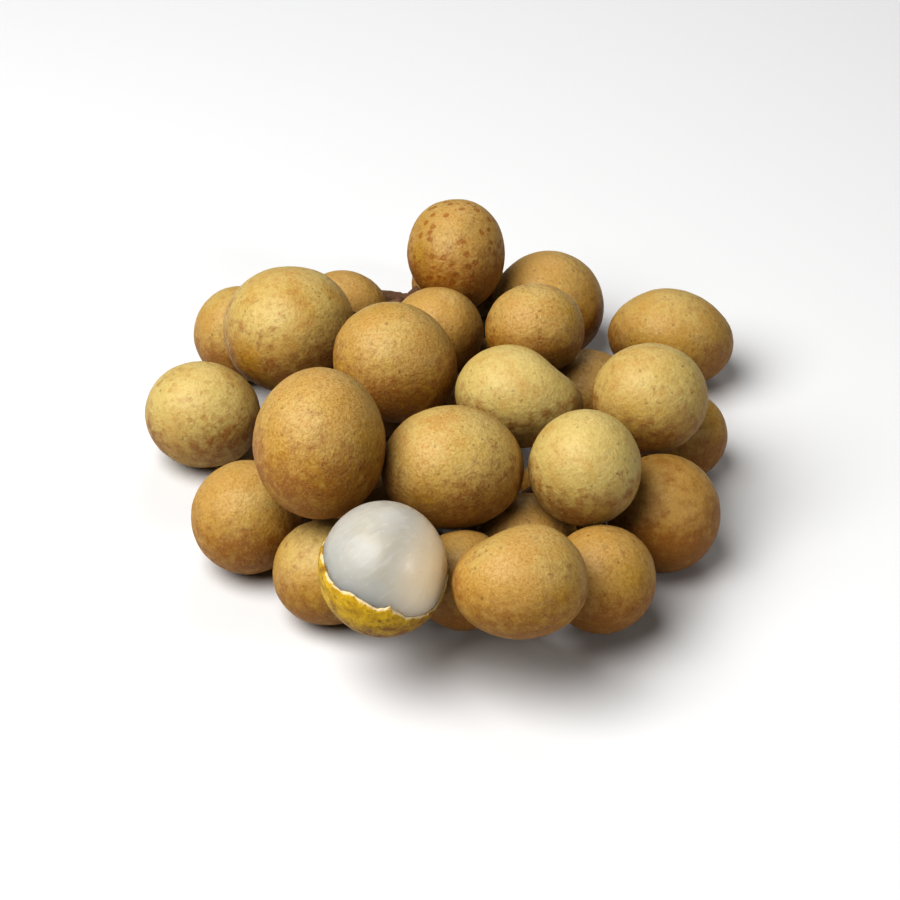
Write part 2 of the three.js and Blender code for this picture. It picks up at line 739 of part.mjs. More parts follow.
// a closed round rod through a row of knots, each with its own radius
function rodGeometry(row, sides) {
  const places = [];
  const faces = [];
  let across = new THREE.Vector3(0.31, 0.22, 0.92);
  row.forEach((knot, n) => {
    const before = row[Math.max(0, n - 1)].point;
    const after = row[Math.min(row.length - 1, n + 1)].point;
    const along = after.clone().sub(before).normalize();
    across = across.clone().addScaledVector(along, -across.dot(along)).normalize();
    const over = along.clone().cross(across);
    for (let side = 0; side < sides; side += 1) {
      const turn = (2 * Math.PI * side) / sides;
      const corner = knot.point.clone().addScaledVector(across, knot.radius * Math.cos(turn));
      places.push(...corner.addScaledVector(over, knot.radius * Math.sin(turn)).toArray());
    }
  });
  const last = (row.length - 1) * sides;
  for (let n = 0; n < row.length - 1; n += 1) {
    for (let side = 0; side < sides; side += 1) {
      const next = (side + 1) % sides;
      const [a, b] = [n * sides + side, n * sides + next];
      faces.push(a, b, b + sides, a, b + sides, a + sides);
    }
  }
  for (let side = 1; side < sides - 1; side += 1) {
    faces.push(0, side + 1, side, last, last + side, last + side + 1);
  }
  const geometry = new THREE.BufferGeometry();
  geometry.setAttribute('position', new THREE.Float32BufferAttribute(places, 3));
  geometry.setIndex(faces);
  return geometry;
}

function sidesFor(knot) {
  return knot.carries > 9 ? 6 : 5;
}

// the outer surface alone, so that a pocket closed in between crossing rods is solid wood
function outerSkin(solid) {
  const shells = solid.decompose();
  return shells.reduce((most, shell) => (shell.volume() > most.volume() ? shell : most));
}

// true where a straight run between two knots stays clear of every fruit
function isClearRun(from, to) {
  return [0.2, 0.35, 0.5, 0.65, 0.8].every((share) => {
    const point = from.point.clone().lerp(to.point, share);
    return freeSpace(point) > Math.max(from.radius, to.radius) + 0.2;
  });
}

// every run of knots from a fork to the next fork or fruit is a rod; the rods are joined into one piece
function stalkGeometry() {
  let solid = null;
  knots.forEach((knot, index) => {
    const isEnd = knot.children === 0 || knot.children > 1;
    if (!isEnd || index === 0) {
      return;
    }
    const row = [];
    if (knot.button) {
      const back = knots[knot.parent].point.clone().sub(knot.point).normalize();
      row.push({ point: knot.point, radius: buttonRadius });
      row.push({ point: knot.point.clone().addScaledVector(back, 0.7), radius: buttonRadius * 0.95 });
      row.push({ point: knot.point.clone().addScaledVector(back, 1.3), radius: knot.radius * 1.1 });
    } else {
      row.push(knot);
    }
    let up = knot.parent;
    let passed = 0;
    while (knots[up].children === 1 && knots[up].parent >= 0) {
      const above = knots[knots[up].parent];
      if (knots[up].fixed || passed === 7 || !isClearRun(row[row.length - 1], above)) {
        row.push(knots[up]);
        passed = 0;
      }
      passed += 1;
      up = knots[up].parent;
    }
    row.push({ point: knots[up].point, radius: Math.min(knots[up].radius, 1.15 * row[row.length - 1].radius) });
    const rod = toSolid(rodGeometry(row, sidesFor(knot)));
    solid = solid ? solid.add(rod) : rod;
    if (knot.children > 1 && knot.carries > 6) {
      const fork = toSolid(ballGeometry(knot.point, 0, () => knot.radius * 1.12));
      solid = solid.add(fork);
    }
  });
  return toGeometry(outerSkin(solid));
}

// put the bunch together, centred over its own footprint
const skins = skinColours.map((color) => new THREE.MeshStandardMaterial({ color, roughness: 0.62, metalness: 0 }));
const huskInside = new THREE.MeshStandardMaterial({ color: 0xc99a2c, roughness: 0.6, metalness: 0 });
const flesh = new THREE.MeshStandardMaterial({ color: 0xd8d6cc, roughness: 0.2, metalness: 0 });
const wood = new THREE.MeshStandardMaterial({ color: 0x6b4a34, roughness: 0.85, metalness: 0 });

const bunch = new THREE.Group();
function addPiece(name, geometry, material) {
  const mesh = new THREE.Mesh(geometry, material);
  mesh.name = name;
  bunch.add(mesh);
}

fruits.forEach((fruit, index) => {
  if (fruit !== peeled) {
    addPiece(fruit.name, fruitGeometry(fruit), skins[(index * 7) % skins.length]);
  }
});
addPiece('peeled_husk', huskGeometry(), huskInside);
addPiece('peeled_flesh', fleshGeometry(), flesh);
addPiece('stalk', stalkGeometry(), wood);

const box = new THREE.Box3().setFromObject(bunch);
const centre = box.getCenter(new THREE.Vector3());
bunch.position.set(-centre.x, -centre.y, 0);
bunch.updateMatrixWorld(true);

export default bunch;
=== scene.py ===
import math
import bmesh
import bpy
import numpy as np
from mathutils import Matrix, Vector


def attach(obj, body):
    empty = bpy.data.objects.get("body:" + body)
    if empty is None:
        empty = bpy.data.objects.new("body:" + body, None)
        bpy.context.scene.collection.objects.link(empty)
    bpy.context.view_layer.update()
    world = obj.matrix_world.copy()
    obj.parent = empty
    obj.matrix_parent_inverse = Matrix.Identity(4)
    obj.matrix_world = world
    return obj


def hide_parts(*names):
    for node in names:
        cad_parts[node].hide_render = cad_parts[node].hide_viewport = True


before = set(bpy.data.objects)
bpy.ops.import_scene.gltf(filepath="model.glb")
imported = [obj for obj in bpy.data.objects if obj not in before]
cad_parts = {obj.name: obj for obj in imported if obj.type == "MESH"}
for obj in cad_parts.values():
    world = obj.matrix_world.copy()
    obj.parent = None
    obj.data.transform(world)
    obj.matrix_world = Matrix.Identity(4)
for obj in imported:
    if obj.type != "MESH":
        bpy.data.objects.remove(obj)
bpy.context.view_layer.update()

mm = 0.001

# the bunch is looked down on from the front; degrees, metres, and millimetres for the lens and its sensor
camera = {
    "rise": 35.5,
    "distance": 0.540,
    "aim": (0.0010, -0.0087, 0.016),
    "lens": 97.85,
    "sensor": 36.0,
    "nearest": 0.01,
}
rise = math.radians(camera["rise"])
viewRight = np.array((1.0, 0.0, 0.0))
viewUp = np.array((0.0, math.sin(rise), math.cos(rise)))
viewAway = np.array((0.0, math.cos(rise), -math.sin(rise)))


# a socket that takes part in sums, so that a pattern reads as one line
class Wire:
    def __init__(self, maker, socket):
        self.maker = maker
        self.socket = socket

    def combine(self, operation, other, flip=False):
        first, second = (other, self) if flip else (self, other)
        return self.maker.add("ShaderNodeMath", {"operation": operation}, [first, second])

    def __add__(self, other):
        return self.combine("ADD", other)

    def __radd__(self, other):
        return self.combine("ADD", other, True)

    def __sub__(self, other):
        return self.combine("SUBTRACT", other)

    def __rsub__(self, other):
        return self.combine("SUBTRACT", other, True)

    def __mul__(self, other):
        return self.combine("MULTIPLY", other)

    def __rmul__(self, other):
        return self.combine("MULTIPLY", other, True)

    def __pow__(self, other):
        return self.combine("POWER", other)

    def clamp(self):
        return self.maker.add("ShaderNodeClamp", {}, [self, 0.0, 1.0])

    def ramp(self, low, high):
        limits = {"Value": self, "From Min": low, "From Max": high}
        return self.maker.add("ShaderNodeMapRange", {"interpolation_type": "SMOOTHSTEP"}, limits)


# one material being wired up
class Finish:
    def __init__(self, name):
        self.material = bpy.data.materials.new(name)
        self.material.use_nodes = True
        self.tree = self.material.node_tree
        self.shader = self.tree.nodes["Principled BSDF"]
        self.column = 0

    def add(self, kind, settings, inputs, output=0):
        node = self.tree.nodes.new(kind)
        self.column += 1
        node.location = (-200 * (self.column % 12) - 300, -160 * (self.column // 12))
        for key, value in settings.items():
            setattr(node, key, value)
        pairs = inputs.items() if isinstance(inputs, dict) else enumerate(inputs)
        for key, value in pairs:
            self.feed(node.inputs[key], value)
        return Wire(self, node.outputs[output])

    def feed(self, socket, value):
        if isinstance(value, Wire):
            self.tree.links.new(value.socket, socket)
        elif isinstance(value, (tuple, list)) and len(value) == 3 and socket.type == "RGBA":
            socket.default_value = (*value, 1.0)
        else:
            socket.default_value = value

    def where(self):  # place on the piece, in millimetres
        place = self.add("ShaderNodeTexCoord", {}, {}, "Object")
        return self.add("ShaderNodeVectorMath", {"operation": "SCALE"}, {0: place, "Scale": 1000.0})

    def noise(self, place, scale, detail=2.0, rough=0.5, output="Fac"):
        values = {"Vector": place, "Scale": scale, "Detail": detail, "Roughness": rough}
        return self.add("ShaderNodeTexNoise", {"normalize": True}, values, output)

    def cells(self, place, scale, feature="F1"):
        values = {"Vector": place, "Scale": scale}
        return self.add("ShaderNodeTexVoronoi", {"feature": feature}, values, "Distance")

    def dot(self, place, axis):
        values = {0: place, 1: tuple(axis)}
        return self.add("ShaderNodeVectorMath", {"operation": "DOT_PRODUCT"}, values, "Value")

    def attribute(self, name):
        return self.add("ShaderNodeAttribute", {"attribute_name": name}, {}, "Fac")

    # a sum of patterns by name, each with its weight, from a starting level
    def weigh(self, patterns, weights):
        total = weights["level"]
        for name, weight in weights.items():
            if name != "level":
                total = total + patterns[name] * weight
        return total.clamp()

    def blend(self, amount, first, second):
        settings = {"data_type": "RGBA", "blend_type": "MIX"}
        return self.add("ShaderNodeMix", settings, {0: amount, 6: first, 7: second}, 2)

    def bump(self, heightMm):
        values = {"Height": heightMm, "Distance": mm, "Strength": 1.0}
        self.feed(self.shader.inputs["Normal"], self.add("ShaderNodeBump", {}, values))

    def set(self, **values):
        for key, value in values.items():
            self.feed(self.shader.inputs[key.replace("_", " ")], value)
        return self.material


# points of a CAD node, each once
def nodePoints(name):
    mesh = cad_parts[name].data
    points = np.empty(len(mesh.vertices) * 3)
    mesh.vertices.foreach_get("co", points)
    return np.unique(points.reshape(-1, 3).round(6), axis=0)


def powerTerms(directions, degree):
    x, y, z = directions.T
    terms = []
    for total in (degree, degree - 1):
        for a in range(total + 1):
            for b in range(total + 1 - a):
                terms.append(x ** a * y ** b * z ** (total - a - b))
    return np.stack(terms, axis=1)


# a smooth form is fitted to the corners that stand clear of the table; many corners allow a higher degree
fitting = {
    "tableSkip": 0.00005,
    "manyCorners": 130,
    "manyDegree": 6,
    "fewDegree": 4,
}


# a smooth closed form through the corners of a ball-like node: its centre, and its radius in any direction
class SmoothForm:
    def __init__(self, name):
        points = nodePoints(name)
        points = points[points[:, 2] > fitting["tableSkip"]]
        rows = np.hstack([2 * points, np.ones((len(points), 1))])
        answer = np.linalg.lstsq(rows, (points ** 2).sum(axis=1), rcond=None)[0]
        self.centre = answer[:3]
        out = points - self.centre
        radii = np.linalg.norm(out, axis=1)
        self.degree = fitting["manyDegree"] if len(points) > fitting["manyCorners"] else fitting["fewDegree"]
        terms = powerTerms(out / radii[:, None], self.degree)
        self.weights = np.linalg.lstsq(terms, radii, rcond=None)[0]

    def radius(self, directions):
        return powerTerms(directions, self.degree) @ self.weights


def ballMesh(name, level):
    shape = bmesh.new()
    bmesh.ops.create_icosphere(shape, subdivisions=level, radius=1.0)
    mesh = bpy.data.meshes.new(name)
    shape.to_mesh(mesh)
    shape.free()
    directions = np.empty(len(mesh.vertices) * 3)
    mesh.vertices.foreach_get("co", directions)
    directions = directions.reshape(-1, 3)
    return mesh, directions / np.linalg.norm(directions, axis=1)[:, None]


def setPoints(mesh, points):
    mesh.vertices.foreach_set("co", points.ravel())
    mesh.update()


# one value per corner of the mesh, or the same one for all
def storeValues(mesh, name, values):
    layer = mesh.attributes.new(name, "FLOAT", "POINT")
    row = np.broadcast_to(values, len(mesh.vertices)).astype(np.float32)
    layer.data.foreach_set("value", row.copy())


def smoothShade(mesh):
    mesh.polygons.foreach_set("use_smooth", [True] * len(mesh.polygons))


# a Geometry Nodes tree under construction
class Grower:
    def __init__(self, name, sizes):
        self.tree = bpy.data.node_groups.new(name, "GeometryNodeTree")
        self.tree.interface.new_socket("Geometry", in_out="INPUT", socket_type="NodeSocketGeometry")
        for label, value in sizes.items():
            kind = "NodeSocketInt" if isinstance(value, int) else "NodeSocketFloat"
            self.tree.interface.new_socket(label, in_out="INPUT", socket_type=kind).default_value = value
        self.tree.interface.new_socket("Geometry", in_out="OUTPUT", socket_type="NodeSocketGeometry")
        self.start = self.tree.nodes.new("NodeGroupInput")
        self.end = self.tree.nodes.new("NodeGroupOutput")

    def add(self, kind, settings, inputs, output=0):
        node = self.tree.nodes.new(kind)
        for key, value in settings.items():
            setattr(node, key, value)
        for key, value in inputs.items():
            if isinstance(value, bpy.types.NodeSocket):
                self.tree.links.new(value, node.inputs[key])
            else:
                node.inputs[key].default_value = value
        return node.outputs[output]

    def maths(self, operation, *values):
        return self.add("ShaderNodeMath", {"operation": operation}, dict(enumerate(values)))

    def close(self, geometry, material):
        real = self.add("GeometryNodeRealizeInstances", {}, {"Geometry": geometry})
        done = self.add("GeometryNodeSetMaterial", {}, {"Geometry": real, "Material": material})
        self.tree.links.new(done, self.end.inputs[0])
        return self.tree


# relief along the normal: slow lumps and close-set pebbles, dying out where the piece rests on the table
relief = {
    "lumpMiddle": 0.5,
    "pebbleMiddle": 0.4,
    "fadeBelow": 1.5 * mm,
}


def makeRelief(name, material, sizes):
    grow = Grower(name, sizes)
    put = grow.start.outputs
    place = grow.add("GeometryNodeInputPosition", {}, {})
    shift = grow.add("ShaderNodeCombineXYZ", {}, {0: put["Seed"]})
    placed = grow.add("ShaderNodeVectorMath", {"operation": "ADD"}, {0: place, 1: shift})
    lumpSizes = {"Vector": placed, "Scale": put["Lumps per metre"], "Detail": 2.0}
    lumps = grow.add("ShaderNodeTexNoise", {}, lumpSizes, "Fac")
    pebbleSizes = {"Vector": placed, "Scale": put["Pebbles per metre"]}
    pebbles = grow.add("ShaderNodeTexVoronoi", {"feature": "SMOOTH_F1"}, pebbleSizes, "Distance")
    above = grow.maths("SUBTRACT", lumps, relief["lumpMiddle"])
    slow = grow.maths("MULTIPLY", above, put["Lump height"])
    inside = grow.maths("SUBTRACT", relief["pebbleMiddle"], pebbles)
    fine = grow.maths("MULTIPLY", inside, put["Pebble height"])
    height = grow.add("ShaderNodeSeparateXYZ", {}, {0: place}, "Z")
    limits = {"Value": height, "From Min": 0.0, "From Max": relief["fadeBelow"]}
    free = grow.add("ShaderNodeMapRange", {"interpolation_type": "SMOOTHSTEP"}, limits)
    amount = grow.maths("MULTIPLY", grow.maths("ADD", slow, fine), free)
    normal = grow.add("GeometryNodeInputNormal", {}, {})
    offset = grow.add("ShaderNodeVectorMath", {"operation": "SCALE"}, {0: normal, "Scale": amount})
    raised = grow.add("GeometryNodeSetPosition", {}, {"Geometry": put["Geometry"], "Offset": offset})
    return grow.close(raised, material)


def reliefSizes(piece):
    return {
        "Seed": 0.0,
        "Lumps per metre": piece["lumpsPerMetre"],
        "Lump height": piece["lumpHeight"],
        "Pebbles per metre": piece["pebblesPerMetre"],
        "Pebble height": piece["pebbleHeight"],
    }


# run a tree on a mesh and keep the plain result
def growMesh(mesh, tree, changes):
    carrier = bpy.data.objects.new("carrier", mesh)
    bpy.context.collection.objects.link(carrier)
    modifier = carrier.modifiers.new("grow", "NODES")
    modifier.node_group = tree
    for item in tree.interface.items_tree:
        if item.item_type == "SOCKET" and item.in_out == "INPUT" and item.name in changes:
            modifier[item.identifier] = changes[item.name]
    return keepMesh(carrier)


def keepMesh(carrier):
    bpy.context.view_layer.update()
    evaluated = carrier.evaluated_get(bpy.context.evaluated_depsgraph_get())
    made = bpy.data.meshes.new_from_object(evaluated, preserve_all_data_layers=True,
                                           depsgraph=bpy.context.evaluated_depsgraph_get())
    old = carrier.data
    carrier.modifiers.clear()
    bpy.data.objects.remove(carrier)
    if old.users == 0:
        bpy.data.meshes.remove(old)
    return made


def placePiece(name, mesh, node, material):
    smoothShade(mesh)
    mesh.materials.clear()
    mesh.materials.append(material)
    piece = bpy.data.objects.new(name, mesh)
    bpy.context.collection.objects.link(piece)
    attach(piece, "root")
    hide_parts(node)


# the skins: matt, finely pebbled, tan to straw yellow with rust-brown flecks; paler, dustier tops are
# painted light and rustier undersides are painted shade
skin = {
    "level": 6,
    "inset": 0.997,
    "lumpsPerMetre": 170.0,
    "lumpHeight": 0.30 * mm,
    "pebblesPerMetre": 620.0,
    "pebbleHeight": 0.10 * mm,
    "seedStep": 0.37,
    "stemHollow": 0.030,
    "hollowSharpness": 60,
    "stemSharpness": 14,
    "usualPaleness": 0.3,
    "usualCoarseness": 0.4,
    "tan": (0.385, 0.228, 0.055),
    "gold": (0.358, 0.207, 0.011),
    "straw": (0.462, 0.372, 0.138),
    "rust": (0.238, 0.080, 0.002),
    "umber": (0.210, 0.100, 0.015),
    "dustAndLitTopColour": (0.490, 0.370, 0.170),
    "dot": (0.100, 0.042, 0.008),
    # waves or cells a millimetre of each pattern
    "scale": {
        "cloud": 0.075, "blotch": 0.11, "spotPatch": 0.13, "dotPatch": 0.22, "spot": 0.42, "mottle": 0.46,
        "dot": 0.52, "wobble": 0.9, "pebble": 1.15, "grain": 1.7, "speckle": 3.2,
    },
    "bendMm": 1.1,
    # how strongly each pattern brings a colour in, from a starting level
    # the weights on the upward-facing side in these sums paint the tops of the fruit paler and less gold:
    # painted light
    "toGold": {"level": -1.75, "cloud": 3.2, "mottle": 1.6, "paintedLitTop": -0.6},
    "toStraw": {"level": -2.50, "blotch": 2.4, "paleness": 1.15, "mottle": 1.7, "paintedLitTop": 0.15},
    # the weight on the underside brings the rust-brown in under each fruit: painted shade
    "toRustAndUnderShade": {
        "level": -2.31, "mottle": 3.0, "blotch": 1.8, "paleness": -0.45, "stemward": 0.7, "paintedShadedUnderside": 1.0,
    },
    "fleck": {"level": 0.07, "grain": 3.0, "speckle": 2.2, "smooth": 0.45, "coarse": 0.65, "paintedLitTop": 0.0},
    # the pale dust is partly real fine scurf from the grain and partly painted light, laid more thickly on
    # the upward-facing side
    "scurf": {"level": 0.0, "grain": -2.6, "speckle": -1.6, "smooth": 0.40, "coarse": 0.60, "paintedLitTop": 0.50},
    # how much of a colour shows where its pattern is full
    "cover": {"rust": 0.8, "fleck": 0.42, "scurf": 0.36, "scurfOnPale": 0.20, "dot": 0.42, "spot": 0.72},
    # where each pattern starts and is full
    "paintedLitTopEdge": (-0.25, 1.05),
    "dotEdge": (0.08, 0.26),
    "dotPatchEdge": (0.44, 0.60),
    "spotEdge": (0.20, 0.42),
    "spotPatchEdge": (0.30, 0.48),
    "spotHeartEdge": (0.02, 0.20),
    "spotHeartPale": 0.45,
    # depth of each pattern in millimetres
    "depth": {"grain": 0.10, "pebble": 0.10, "mottle": 0.14, "speckle": 0.045, "dot": 0.02, "spot": 0.06},
    "roughness": 0.50,
    "grainRoughness": 0.25,
    "mottleRoughness": 0.15,
    "shine": 0.32,
}

# how pale and greenish each fruit is, from about 0 for orange brown to about 1
paleness = {
    "fruit_01": 0.30, "fruit_02": 0.35, "fruit_03": 0.50, "fruit_04": 0.50,
    "fruit_05": 0.35, "fruit_06": 0.90, "fruit_07": 0.45, "fruit_08": 0.80,
    "fruit_09": 0.55, "fruit_10": 0.30, "fruit_11": 1.00, "fruit_12": 0.35,
    "fruit_13": 1.15, "fruit_14": 0.20, "fruit_15": 1.10, "fruit_16": 0.65,
    "fruit_17": 0.40, "fruit_18": 0.60, "fruit_19": 0.30, "fruit_20": 0.50,
    "fruit_21": 0.25, "fruit_22": -0.20, "fruit_23": 0.15, "fruit_24": 0.25,
}

# how coarse the grain of the skin is, for the fruit that differ from the usual
coarseness = {
    "fruit_01": 0.6, "fruit_02": 0.3, "fruit_03": 0.8, "fruit_04": 0.2,
    "fruit_07": 0.9, "fruit_08": 0.5, "fruit_12": 1.0, "fruit_16": 0.8,
    "fruit_17": 0.6, "fruit_20": 0.6, "fruit_21": 0.6, "fruit_22": 0.2,
}

# how plainly round sunken spots show, for the few fruit that have them
spotting = {"fruit_01": 1.0, "fruit_06": 0.25, "fruit_08": 0.3, "fruit_11": 0.35}


# what varies over a skin, by name
def skinPatterns(paint, where):
    scale = skin["scale"]
    look = {name: paint.attribute(name) for name in ("paleness", "spotting", "coarseness", "stemward")}
    # paler tops and darker, rustier undersides, by how far up each point faces: painted light and painted
    # shade
    look["paintedLitTop"] = paint.attribute("upward").ramp(*skin["paintedLitTopEdge"])
    look["paintedShadedUnderside"] = (1.0 - look["paintedLitTop"]) ** 1.5
    look["cloud"] = paint.noise(where, scale["cloud"])
    look["blotch"] = paint.noise(where, scale["blotch"])
    look["mottle"] = paint.noise(where, scale["mottle"], 3.0, 0.55)
    look["grain"] = paint.noise(where, scale["grain"], 3.0, 0.6)
    look["speckle"] = paint.noise(where, scale["speckle"], 2.0, 0.6)
    return look


# a fine pattern that shows more on a coarser skin, with painted light added on the upward-facing side where
# the weights ask for it
def fineGrain(look, weights):
    fine = (look["grain"] - 0.5) * weights["grain"] + (look["speckle"] - 0.5) * weights["speckle"]
    shown = fine * (weights["smooth"] + weights["coarse"] * look["coarseness"])
    return (shown + look["paintedLitTop"] * weights["paintedLitTop"] + weights["level"]).clamp()


def makeSkin():
    paint = Finish("longanSkin")
    where = paint.where()
    look = skinPatterns(paint, where)
    scale, cover, depth = skin["scale"], skin["cover"], skin["depth"]
    mottle, grain, speckle = look["mottle"] - 0.5, look["grain"] - 0.5, look["speckle"] - 0.5
    wobble = paint.noise(where, scale["wobble"], output="Color")
    bending = {0: wobble, 1: (skin["bendMm"],) * 3, 2: where}
    bent = paint.add("ShaderNodeVectorMath", {"operation": "MULTIPLY_ADD"}, bending)
    colour = paint.blend(paint.weigh(look, skin["toGold"]), skin["tan"], skin["gold"])
    colour = paint.blend(paint.weigh(look, skin["toStraw"]), colour, skin["straw"])
    # rust-brown mottle near the stem end and in blotches is real; rust-brown on the undersides is painted
    # shade
    colour = paint.blend(paint.weigh(look, skin["toRustAndUnderShade"]) * cover["rust"], colour, skin["rust"])
    colour = paint.blend(fineGrain(look, skin["fleck"]) * cover["fleck"], colour, skin["umber"])
    # pale dust from the fine grain, which is real scurf, with painted light laid over the tops of the fruit
    paleDustAndLitTop = fineGrain(look, skin["scurf"]) * (cover["scurf"] + cover["scurfOnPale"] * look["paleness"])
    colour = paint.blend(paleDustAndLitTop, colour, skin["dustAndLitTopColour"])
    dotPatch = paint.noise(where, scale["dotPatch"], 1.0).ramp(*skin["dotPatchEdge"])
    dots = (1.0 - paint.cells(bent, scale["dot"]).ramp(*skin["dotEdge"])) * dotPatch
    colour = paint.blend(dots * cover["dot"], colour, skin["dot"])
    spotPlace = paint.cells(bent, scale["spot"])
    spotPatch = paint.noise(where, scale["spotPatch"], 1.0).ramp(*skin["spotPatchEdge"])
    ring = (1.0 - spotPlace.ramp(*skin["spotEdge"])) * spotPatch * look["spotting"]
    heart = 1.0 - spotPlace.ramp(*skin["spotHeartEdge"])
    colour = paint.blend(ring * (1.0 - heart * skin["spotHeartPale"]) * cover["spot"], colour, skin["rust"])
    pebble = 0.5 - paint.cells(bent, scale["pebble"], "SMOOTH_F1")
    height = grain * (look["coarseness"] * 0.7 + 0.5) * depth["grain"] + pebble * depth["pebble"]
    height = height + mottle * depth["mottle"] + speckle * depth["speckle"]
    paint.bump(height - dots * depth["dot"] - ring * depth["spot"])
    rough = skin["roughness"] + grain * skin["grainRoughness"] + mottle * skin["mottleRoughness"]
    return paint.set(Base_Color=colour, Roughness=rough.clamp(), Specular_IOR_Level=skin["shine"])


skinFinish = makeSkin()
skinRelief = makeRelief("pebbledSkin", skinFinish, reliefSizes(skin))
print("skins: finish ready")
stalkPoints = nodePoints("stalk")
stemEndDepth = 0.0003


# the stem end is where the stalk comes nearest to the fruit
def stemDirection(form):
    out = stalkPoints - form.centre
    distance = np.linalg.norm(out, axis=1)
    gap = distance - form.radius(out / distance[:, None])
    near = out[gap < gap.min() + stemEndDepth]
    middle = near.mean(axis=0)
    return middle / np.linalg.norm(middle)


def makeWholeFruit(name, number):
    form = SmoothForm(name)
    mesh, directions = ballMesh(name + "_skin", skin["level"])
    facing = directions @ stemDirection(form)
    hollow = skin["stemHollow"] * np.exp(skin["hollowSharpness"] * (facing - 1))
    radii = form.radius(directions) * (skin["inset"] - hollow)
    points = form.centre + directions * radii[:, None]
    points[:, 2] = np.maximum(points[:, 2], 0.0)
    setPoints(mesh, points)
    storeValues(mesh, "stemward", np.exp(skin["stemSharpness"] * (facing - 1)))
    storeValues(mesh, "upward", directions[:, 2])
    storeValues(mesh, "paleness", paleness.get(name, skin["usualPaleness"]))
    storeValues(mesh, "spotting", spotting.get(name, 0.0))
    storeValues(mesh, "coarseness", coarseness.get(name, skin["usualCoarseness"]))
    mesh = growMesh(mesh, skinRelief, {"Seed": skin["seedStep"] * number})
    placePiece(name + "_skin", mesh, name, skinFinish)


wholeNames = sorted(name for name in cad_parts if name.startswith("fruit_"))
for number, name in enumerate(wholeNames):
    makeWholeFruit(name, number)
print("skins:", len(wholeNames), "fruit made")

# the peeled fruit: a torn half husk round a ball of wet white flesh
husk = {
    "wall": 0.50 * mm,
    "toFlesh": 0.30 * mm,
    "radiusMm": 12.5,
    "tearToward": (0.27, 0.82, -0.51),   # across, up and away in the view
    # the torn edge: turn round the fruit, then its distance from the closed end, both in degrees
    "tornEdge": (
        (0, 104), (40, 100), (80, 97), (120, 94), (160, 93), (193, 93), (207, 90),
        (216, 86.5), (230, 87), (241, 91), (252, 90), (258, 87.5), (266, 85.5), (276, 90.5),
        (284, 85.5), (295, 81), (314, 78), (328, 80), (336, 88), (345, 100),
    ),
    # the teeth of the torn edge: how many round the fruit, and their share of the tooth size
    "teeth": ((28, 0.5), (61, 0.45), (140, 0.3)),
    "toothSize": 0.022,
    "seed": 4,
    "turns": 420,
    "rings": 60,
    # how far the inner face reaches past the outer one, in radians
    "ledge": 0.012,
    "ledgeVaries": 0.030,
    "ledgeLimits": (0.002, 0.07),
    # the outer face sinks towards the torn edge
    "thinning": 0.22 * mm,
    "thinningReach": 0.05,
    "poleFromRim": 20.0,
    "innerFromRim": 0.15,
    "lumpsPerMetre": 210.0,
    "lumpHeight": 0.22 * mm,
    "pebblesPerMetre": 700.0,
    "pebbleHeight": 0.08 * mm,
    "reliefSeed": 3.1,
    "gold": (0.52, 0.345, 0.010),
    "amber": (0.17, 0.064, 0.002),
    "cream": (0.56, 0.46, 0.29),
    "scale": {"mottle": 0.40, "spot": 0.45, "pebble": 1.0, "scurf": 2.2},
    # the weight on the low side darkens the bottom of the husk to amber: painted shade
    "toAmber": {"level": -1.35, "mottle": 2.2, "scurf": 1.0, "low": 0.7},
    "toSkin": {"level": -1.402, "fromRim": 1.0, "mottle": 2.4, "scurf": 0.5},
    "lowEdge": (-0.90, -0.10),
    "tornSkinEdge": (0.05, 0.40),
    "spotEdge": (0.12, 0.30),
    "spotCover": 0.4,
    "depth": {"scurf": 0.07, "pebble": 0.12, "mottle": 0.2},
    "roughness": 0.48,
    "scurfRoughness": 0.3,
    "shine": 0.25,
}
flesh = {
    "level": 6,
    "swell": 0.34 * mm,
    "white": (0.352, 0.344, 0.314),
    "vein": (0.44, 0.436, 0.41),
    "shade": (0.34, 0.322, 0.275),
    # painted light: a warm, light glow on the right and lower side of the flesh in the view
    "paintedGlow": (0.81, 0.68, 0.50),
    "grain": (0.80, 0.27, 0.53),         # the way that the fibres run
    "grainStretch": 0.13,
    "streakScale": 0.75,
    "streakEdge": (0.52, 0.76),
    "streakCover": 0.42,
    "streakDepth": 0.14,
    "streakRoughness": 0.3,
    "cloudScale": 0.15,
    "cloudEdge": (0.40, 0.68),
    "cloudCover": 0.8,
    "cloudDepth": 0.5,
    # the side of the flesh where the painted glow is laid, and how far it spreads
    "paintedGlowToward": (0.93, -0.36),         # across and up in the view
    "paintedGlowEdge": (-0.02, 0.95),
    "paintedGlowCover": 0.95,
    "roughness": 0.38,
    "insideLight": 0.9,
    "insideScale": 0.030,
    "insideRadius": (1.0, 0.85, 0.7),
    "wetness": 0.10,
    "wetRoughness": 0.12,
    "index": 1.34,
}
fleshForm = SmoothForm("peeled_flesh")
tearMiddle = sum(axis * part for axis, part in zip((viewRight, viewUp, viewAway), husk["tearToward"]))
tearMiddle = tearMiddle / np.linalg.norm(tearMiddle)
tearSide = viewRight - tearMiddle * (viewRight @ tearMiddle)
tearSide = tearSide / np.linalg.norm(tearSide)
tearCross = np.cross(tearMiddle, tearSide)


# how far from the pole the husk reaches before it is torn off, in radians
def tearReach(turn):
    places, reaches = zip(*husk["tornEdge"])
    degrees = np.degrees(turn) % 360
    edge = np.radians(np.interp(degrees, places, reaches, period=360))
    return edge + husk["toothSize"] * unevenRow(len(turn), husk["seed"])


# a closed row of uneven values, rough at several sizes, about 0 give or take 1
def unevenRow(count, seed):
    draw = np.random.default_rng(seed)
    row = np.zeros(count)
    for knots, size in husk["teeth"]:
        values = draw.uniform(-1, 1, knots)
        row += size * np.interp(np.arange(count) * knots / count, np.arange(knots), values, period=knots)
    return row


def poleDirections(fromPole, turn):
    flat = np.cos(turn)[:, None] * tearSide + np.sin(turn)[:, None] * tearCross
    return -np.cos(fromPole)[:, None] * tearMiddle + np.sin(fromPole)[:, None] * flat


